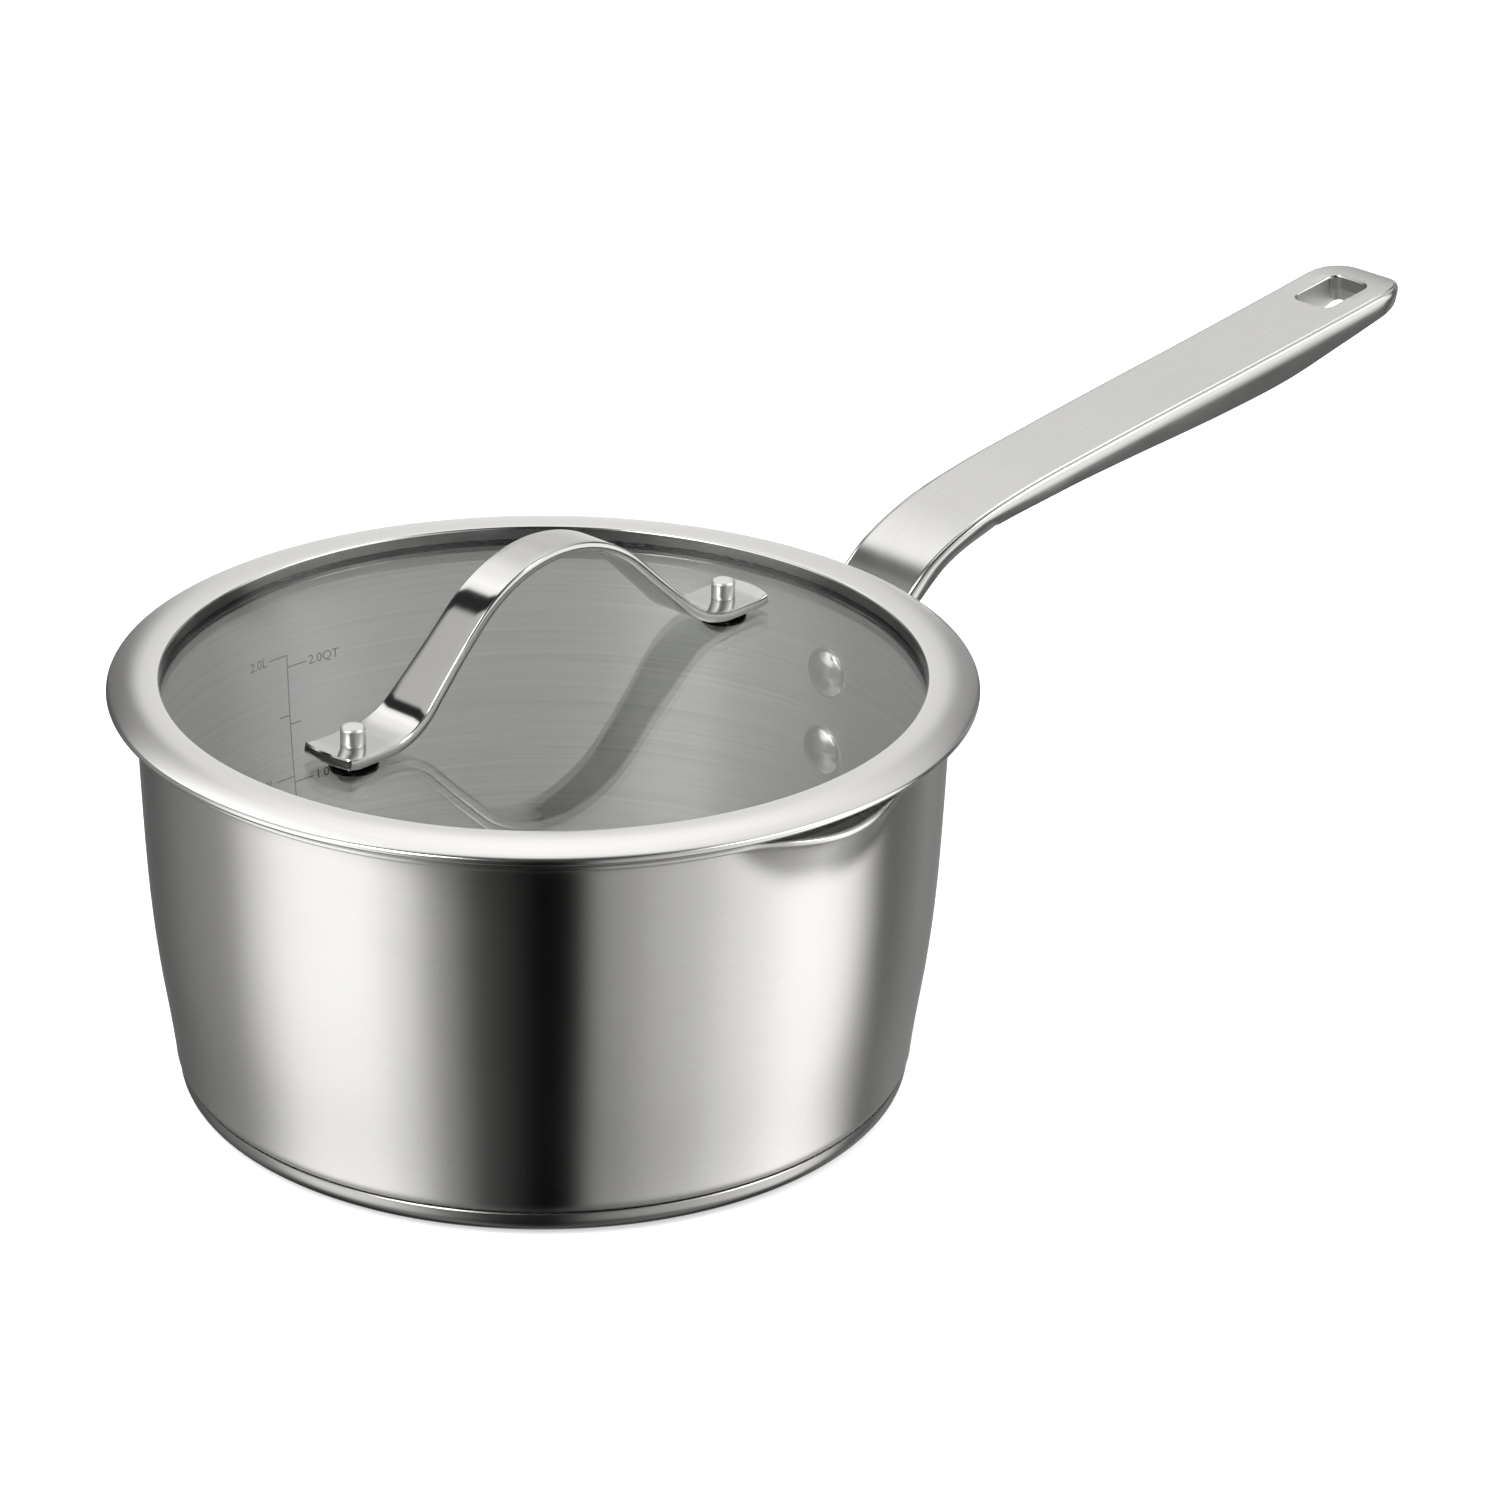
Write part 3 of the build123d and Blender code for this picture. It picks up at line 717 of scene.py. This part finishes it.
def brushed_lines_group():
    """Fine lines that run round the axis, on walls and on flat faces alike."""
    group, taken, given = new_group("brushed_lines", [("Pitch", 1500.0), ("Run", 9.0)],
                                    ["Lines", "Patches"])
    place = node(group, "ShaderNodeTexCoord")
    apart = node(group, "ShaderNodeSeparateXYZ")
    squares = [node(group, "ShaderNodeMath", operation="MULTIPLY") for _ in range(2)]
    added = node(group, "ShaderNodeMath", operation="ADD")
    root = node(group, "ShaderNodeMath", operation="SQRT")
    climb = node(group, "ShaderNodeMath", operation="ADD")
    pitch = node(group, "ShaderNodeMath", operation="MULTIPLY")
    runs = [node(group, "ShaderNodeMath", operation="MULTIPLY") for _ in range(2)]
    together = node(group, "ShaderNodeCombineXYZ")
    lines = node(group, "ShaderNodeTexNoise", Scale=1.0, Detail=3.0, Roughness=0.6)
    patches = node(group, "ShaderNodeTexNoise", Scale=22.0, Detail=3.0, Roughness=0.5)
    link = group.links.new
    link(place.outputs["Object"], apart.inputs[0])
    for square, axis in zip(squares, "XY"):
        link(apart.outputs[axis], square.inputs[0])
        link(apart.outputs[axis], square.inputs[1])
        link(square.outputs[0], added.inputs["XY".index(axis)])
    link(added.outputs[0], root.inputs[0])
    link(root.outputs[0], climb.inputs[0])
    link(apart.outputs["Z"], climb.inputs[1])
    link(climb.outputs[0], pitch.inputs[0])
    link(taken.outputs["Pitch"], pitch.inputs[1])
    for run, axis in zip(runs, "XY"):
        link(apart.outputs[axis], run.inputs[0])
        link(taken.outputs["Run"], run.inputs[1])
        link(run.outputs[0], together.inputs[axis])
    link(pitch.outputs[0], together.inputs["Z"])
    link(together.outputs[0], lines.inputs["Vector"])
    link(place.outputs["Object"], patches.inputs["Vector"])
    link(lines.outputs["Fac"], given.inputs["Lines"])
    link(patches.outputs["Fac"], given.inputs["Patches"])
    return group


def satin_grain_group():
    """Fine straight grain along X with soft clouds, as a belt leaves it."""
    group, taken, given = new_group("satin_grain", [("Fineness", 1.0)], ["Grain", "Clouds"])
    place = node(group, "ShaderNodeTexCoord")
    stretch = node(group, "ShaderNodeMapping")
    stretch.inputs["Scale"].default_value = (60, 2400, 300)
    grain = node(group, "ShaderNodeTexNoise", Scale=1.0, Detail=3.0, Roughness=0.6)
    clouds = node(group, "ShaderNodeTexNoise", Scale=45.0, Detail=4.0, Roughness=0.55)
    link = group.links.new
    link(place.outputs["Object"], stretch.inputs["Vector"])
    link(stretch.outputs[0], grain.inputs["Vector"])
    link(taken.outputs["Fineness"], grain.inputs["Scale"])
    link(place.outputs["Object"], clouds.inputs["Vector"])
    link(grain.outputs["Fac"], given.inputs["Grain"])
    link(clouds.outputs["Fac"], given.inputs["Clouds"])
    return group


def blank(name):
    material = bpy.data.materials.new(name)
    material.use_nodes = True
    tree = material.node_tree
    return material, tree, tree.nodes["Principled BSDF"]


def spread(tree, source, low, high):
    """Maps a mask to a range of values."""
    scale = node(tree, "ShaderNodeMapRange", From_Min=0.2, From_Max=0.8, To_Min=low, To_Max=high)
    tree.links.new(source, scale.inputs["Value"])
    return scale.outputs["Result"]


# places of the sockets of a colour mix, which share their names with those of other kinds
MIX_SHARE, MIX_LOW, MIX_HIGH, MIX_RESULT = 0, 6, 7, 2


def tinted(tree, source, dark, light):
    """Maps a mask to a range between two colours."""
    mix = node(tree, "ShaderNodeMix", data_type="RGBA")
    mix.inputs[MIX_LOW].default_value = (*dark, 1)
    mix.inputs[MIX_HIGH].default_value = (*light, 1)
    tree.links.new(source, mix.inputs[MIX_SHARE])
    return mix.outputs[MIX_RESULT]


def steel(name, group, dark, light, rough, bump, aniso=0.0,
          first="Lines", second="Patches", **inputs):
    """Steel whose colour and surface follow the group's first output, and its gloss the
    second. Aniso stretches its reflections, as lines turned round the axis do."""
    material, tree, shader = blank(name)
    finish = tree.nodes.new("ShaderNodeGroup")
    finish.node_tree = group
    for key, value in inputs.items():
        finish.inputs[key].default_value = value
    link = tree.links.new
    link(tinted(tree, finish.outputs[first], dark, light), shader.inputs["Base Color"])
    link(spread(tree, finish.outputs[second], rough[0], rough[1]), shader.inputs["Roughness"])
    shader.inputs["Metallic"].default_value = 1.0
    if aniso:
        shader.inputs["Anisotropic"].default_value = aniso
        shader.inputs["Anisotropic Rotation"].default_value = 0.25
        way = node(tree, "ShaderNodeTangent", direction_type="RADIAL", axis="Z")
        link(way.outputs[0], shader.inputs["Tangent"])
    if bump:
        height = node(tree, "ShaderNodeBump", Strength=bump, Distance=0.00002)
        link(finish.outputs[first], height.inputs["Height"])
        link(height.outputs[0], shader.inputs["Normal"])
    return material


def clear_glass():
    """Plain clear glass with faint clouds of dust."""
    material, tree, shader = blank("clear_lid_glass")
    shader.inputs["Base Color"].default_value = (0.955, 0.972, 0.965, 1)
    shader.inputs["Transmission Weight"].default_value = 1.0
    shader.inputs["IOR"].default_value = 1.52
    place = node(tree, "ShaderNodeTexCoord")
    dust = node(tree, "ShaderNodeTexNoise", Scale=260.0, Detail=2.0)
    tree.links.new(place.outputs["Object"], dust.inputs["Vector"])
    tree.links.new(spread(tree, dust.outputs["Fac"], 0.0, 0.012), shader.inputs["Roughness"])
    return material


def silicone(name, dark, light, rough):
    """Rubber, or any dull dark skin, with faint clouds in its colour and gloss."""
    material, tree, shader = blank(name)
    place = node(tree, "ShaderNodeTexCoord")
    cloud = node(tree, "ShaderNodeTexNoise", Scale=900.0, Detail=3.0)
    mask = cloud.outputs["Fac"]
    link = tree.links.new
    link(place.outputs["Object"], cloud.inputs["Vector"])
    link(tinted(tree, mask, dark, light), shader.inputs["Base Color"])
    link(spread(tree, mask, rough - 0.05, rough + 0.05), shader.inputs["Roughness"])
    return material


# ================================================================ studio

CAMERA_PLACE = (-0.7735, -0.87268, 0.6073)
CAMERA_TURN, CAMERA_TILT, CAMERA_ROLL = 44.038, 24.088, 0.986      # degrees
LENS, SENSOR, FAR_CLIP = 124.48, 36, 50
FACING = radians(228.4)          # the way from the pan to the camera, from +X
LAMP_TINT = (1, 0.992, 0.975)


def make_camera():
    lens = bpy.data.cameras.new("studio_camera")
    lens.lens, lens.sensor_width, lens.clip_end = LENS, SENSOR, FAR_CLIP
    camera = bpy.data.objects.new("studio_camera", lens)
    camera.location = CAMERA_PLACE
    aim = (Matrix.Rotation(-radians(CAMERA_TURN), 4, "Z")
           @ Matrix.Rotation(radians(90 - CAMERA_TILT), 4, "X")
           @ Matrix.Rotation(radians(CAMERA_ROLL), 4, "Z"))
    camera.rotation_euler = aim.to_euler()
    bpy.context.collection.objects.link(camera)
    bpy.context.scene.camera = camera


def ramp(tree, stops):
    """A grey for each angle round from the camera."""
    made = node(tree, "ShaderNodeValToRGB")
    made.color_ramp.interpolation = "EASE"
    elements = made.color_ramp.elements
    elements.remove(elements[-1])
    for i, (angle, value) in enumerate(stops):
        spot = elements[0] if i == 0 else elements.new(angle / 360 + 0.5)
        spot.color = (*(value * part for part in LAMP_TINT), 1)
    return made


# how bright the studio is, by degrees round from the camera, at two heights
WALLS = [(-180, 0.88), (-173, 0.80), (-165, 0.22), (-152, 0.10), (-140, 0.12), (-122, 0.24),
         (-108, 0.30), (-98, 0.38), (-88, 1.0), (-76, 1.38), (-62, 1.40), (-52, 1.30), (-42, 0.82),
         (-30, 0.28), (-18, 0.05), (0, 0.0), (8, 0.0), (18, 0.40), (40, 0.68), (60, 1.0),
         (80, 1.38), (94, 1.50), (101, 1.1), (107, 0.10), (116, 0.06), (118, 0.45), (120, 0.08),
         (141, 0.36), (151, 0.16), (165, 0.36), (173, 0.80), (180, 0.88)]
UPPER = [(-180, 1.25), (-165, 1.15), (-150, 1.45), (-135, 1.7), (-129, 1.5), (-125, 0.03),
         (-112, 0.03), (-109, 0.78), (-80, 0.8), (-62, 0.8), (-56, 8.0), (-40, 9.0), (-32, 0.2),
         (-12, 0.02), (0, 0.0), (15, 0.04), (35, 0.3), (60, 0.8), (70, 1.2), (74, 6.0), (84, 6.0),
         (92, 1.2), (125, 0.7), (150, 0.9), (180, 1.25)]
# where one height gives way to the next, as the upward part of a direction of length 1
TABLE_FADE, UPPER_FADE, ZENITH_FADE = (-0.84, -0.66), (0.40, 0.70), (0.86, 0.95)
TABLE_SHARE, ZENITH = 0.22, 0.05


def make_studio_light():
    """A dark room with broad soft lamps left and right of the camera, behind and above."""
    world = bpy.data.worlds.new("studio")
    bpy.context.scene.world = world
    world.use_nodes = True
    tree = world.node_tree
    out = tree.nodes["Background"]
    link = tree.links.new
    place = node(tree, "ShaderNodeTexCoord")
    turn = node(tree, "ShaderNodeMapping")
    turn.inputs["Rotation"].default_value = (0, 0, -FACING)
    apart = node(tree, "ShaderNodeSeparateXYZ")
    around = node(tree, "ShaderNodeMath", operation="ARCTAN2")
    share = node(tree, "ShaderNodeMath", operation="MULTIPLY_ADD")
    share.inputs[1].default_value, share.inputs[2].default_value = 1 / (2 * pi), 0.5
    link(place.outputs["Generated"], turn.inputs["Vector"])
    link(turn.outputs[0], apart.inputs[0])
    link(apart.outputs["Y"], around.inputs[0])
    link(apart.outputs["X"], around.inputs[1])
    link(around.outputs[0], share.inputs[0])
    walls, upper = ramp(tree, WALLS), ramp(tree, UPPER)
    for band in (walls, upper):
        link(share.outputs[0], band.inputs[0])

    def above(fade):
        step = node(tree, "ShaderNodeMapRange", interpolation_type="SMOOTHSTEP",
                    From_Min=fade[0], From_Max=fade[1])
        link(apart.outputs["Z"], step.inputs["Value"])
        return step.outputs["Result"]

    def blend(amount, low, high):
        """Mixes two greys. Each value is a number or another node's output."""
        mix = node(tree, "ShaderNodeMix", data_type="RGBA")
        for i, value in ((MIX_SHARE, amount), (MIX_LOW, low), (MIX_HIGH, high)):
            if not isinstance(value, float):
                link(value, mix.inputs[i])
            elif i == MIX_SHARE:
                mix.inputs[i].default_value = value
            else:
                mix.inputs[i].default_value = (value, value, value, 1)
        return mix.outputs[MIX_RESULT]

    table = blend(TABLE_SHARE, 0.0, walls.outputs[0])
    room = blend(above(TABLE_FADE), table, walls.outputs[0])
    room = blend(above(UPPER_FADE), room, upper.outputs[0])
    link(blend(above(ZENITH_FADE), room, ZENITH), out.inputs["Color"])
    out.inputs["Strength"].default_value = 1.0


def make_floor():
    """A pale floor that glows a little, out of sight of the steel, and the lamp over it."""
    clear_selection()
    bpy.ops.mesh.primitive_plane_add(size=12, location=(0, 0, -0.0002))
    floor = bpy.context.object
    floor.name = "studio_floor"
    material, _, shader = blank("pale_floor")
    shader.inputs["Base Color"].default_value = (0.86, 0.86, 0.86, 1)
    shader.inputs["Roughness"].default_value = 0.9
    shader.inputs["Specular IOR Level"].default_value = 0.0
    shader.inputs["Emission Color"].default_value = (1, 1, 1, 1)
    shader.inputs["Emission Strength"].default_value = 0.45
    floor.data.materials.append(material)
    floor.visible_glossy = False
    floor.visible_transmission = False
    lamp = bpy.data.lights.new("floor_lamp", "SUN")
    lamp.energy, lamp.angle = 1.6, radians(120)
    holder = bpy.data.objects.new("floor_lamp", lamp)
    holder.rotation_euler = (radians(12), radians(-10), 0)
    holder.visible_glossy = False
    bpy.context.collection.objects.link(holder)


# ================================================================ the object

bpy.context.scene.view_settings.view_transform = "Standard"
brushed, satin = brushed_lines_group(), satin_grain_group()
ALONG = {"first": "Grain", "second": "Clouds"}       # the grain shows in colour and surface
CLOUDY = {"first": "Clouds", "second": "Grain"}      # the grain shows in the gloss alone

# each steel: dark and light colour, range of roughness, then depth of the surface
vessel_steel = steel("satin_vessel_steel", brushed,
                     (0.74, 0.735, 0.72), (0.80, 0.795, 0.78), (0.25, 0.30), 0.08,
                     aniso=1.0, Pitch=2600.0)
# brushed lines round the inside, on a base darker than the outside's: the lines are grain, the
# darker tone is painted shade of the pan's interior
inside_and_shade_steel = steel("inside_brushed_and_painted_shade", brushed,
                     (0.46, 0.46, 0.447), (0.76, 0.755, 0.735), (0.50, 0.58), 0.35,
                     aniso=1.0, Pitch=1500.0)
base_steel = steel("turned_base_steel", brushed,
                   (0.42, 0.415, 0.405), (0.52, 0.515, 0.505), (0.22, 0.28), 0.1,
                   aniso=0.3, Pitch=2600.0)
lid_steel = steel("polished_lid_steel", brushed,
                  (0.76, 0.755, 0.745), (0.82, 0.815, 0.805), (0.13, 0.19), 0.0, Pitch=2400.0)
strap_steel = steel("mirror_strap_steel", satin,
                    (0.54, 0.537, 0.53), (0.59, 0.586, 0.58), (0.06, 0.10), 0.0, **CLOUDY)
handle_steel = steel("satin_handle_steel", satin,
                     (0.55, 0.547, 0.54), (0.62, 0.617, 0.61), (0.17, 0.24), 0.06, **ALONG)
post_steel = steel("dull_post_steel", satin,
                   (0.80, 0.80, 0.80), (0.88, 0.88, 0.88), (0.36, 0.44), 0.0, **CLOUDY)
hole_steel = steel("hole_edge_steel", satin,
                   (0.58, 0.58, 0.575), (0.66, 0.66, 0.65), (0.36, 0.44), 0.0, **CLOUDY)
# painted shade: a dark copy of the lid's steel on the ring's inner wall, standing for the shade in
# the crevice over the glass
painted_ring_shade = steel("painted_shade_on_ring", satin,
                  (0.33, 0.328, 0.32), (0.37, 0.368, 0.36), (0.16, 0.20), 0.0, **CLOUDY)
rivet_steel = steel("tumbled_rivet_steel", satin,
                    (0.80, 0.795, 0.79), (0.88, 0.875, 0.87), (0.12, 0.20), 0.0, **CLOUDY)
hidden_steel = steel("plain_screw_steel", satin,
                     (0.55, 0.55, 0.55), (0.68, 0.68, 0.67), (0.25, 0.35), 0.05, **ALONG)
core_metal = steel("pressed_aluminium", satin,
                   (0.70, 0.70, 0.71), (0.80, 0.80, 0.81), (0.4, 0.5), 0.05, **CLOUDY)
black_rubber = silicone("black_silicone", (0.010, 0.010, 0.010), (0.020, 0.020, 0.020), 0.25)
dark_rubber = silicone("dark_silicone", (0.03, 0.03, 0.03), (0.05, 0.05, 0.05), 0.4)
mark_ink = silicone("etched_mark", (0.010, 0.010, 0.010), (0.025, 0.025, 0.024), 0.55)
glass = clear_glass()

NODE_FINISH = {"base_core": core_metal, "lid_glass": glass, "lid_locating_ring": lid_steel,
               "lid_glass_seal": dark_rubber}
for place in ("handle_side", "open_side"):
    NODE_FINISH[f"glass_gasket_{place}"] = black_rubber
    NODE_FINISH[f"strap_washer_{place}"] = hidden_steel
    NODE_FINISH[f"strap_screw_{place}"] = hidden_steel
for name, finish in NODE_FINISH.items():
    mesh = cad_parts[name].data
    mesh.materials.clear()
    mesh.materials.append(finish)

make_camera()
make_studio_light()
make_floor()
make_vessel(vessel_steel, inside_and_shade_steel)
make_base_cap(base_steel)
make_rivets(rivet_steel)
make_pan_handle(handle_steel, hole_steel)
make_rim_band(lid_steel, painted_ring_shade)
make_strap(strap_steel)
make_foot_fittings(post_steel, black_rubber)
make_volume_marks(mark_ink)
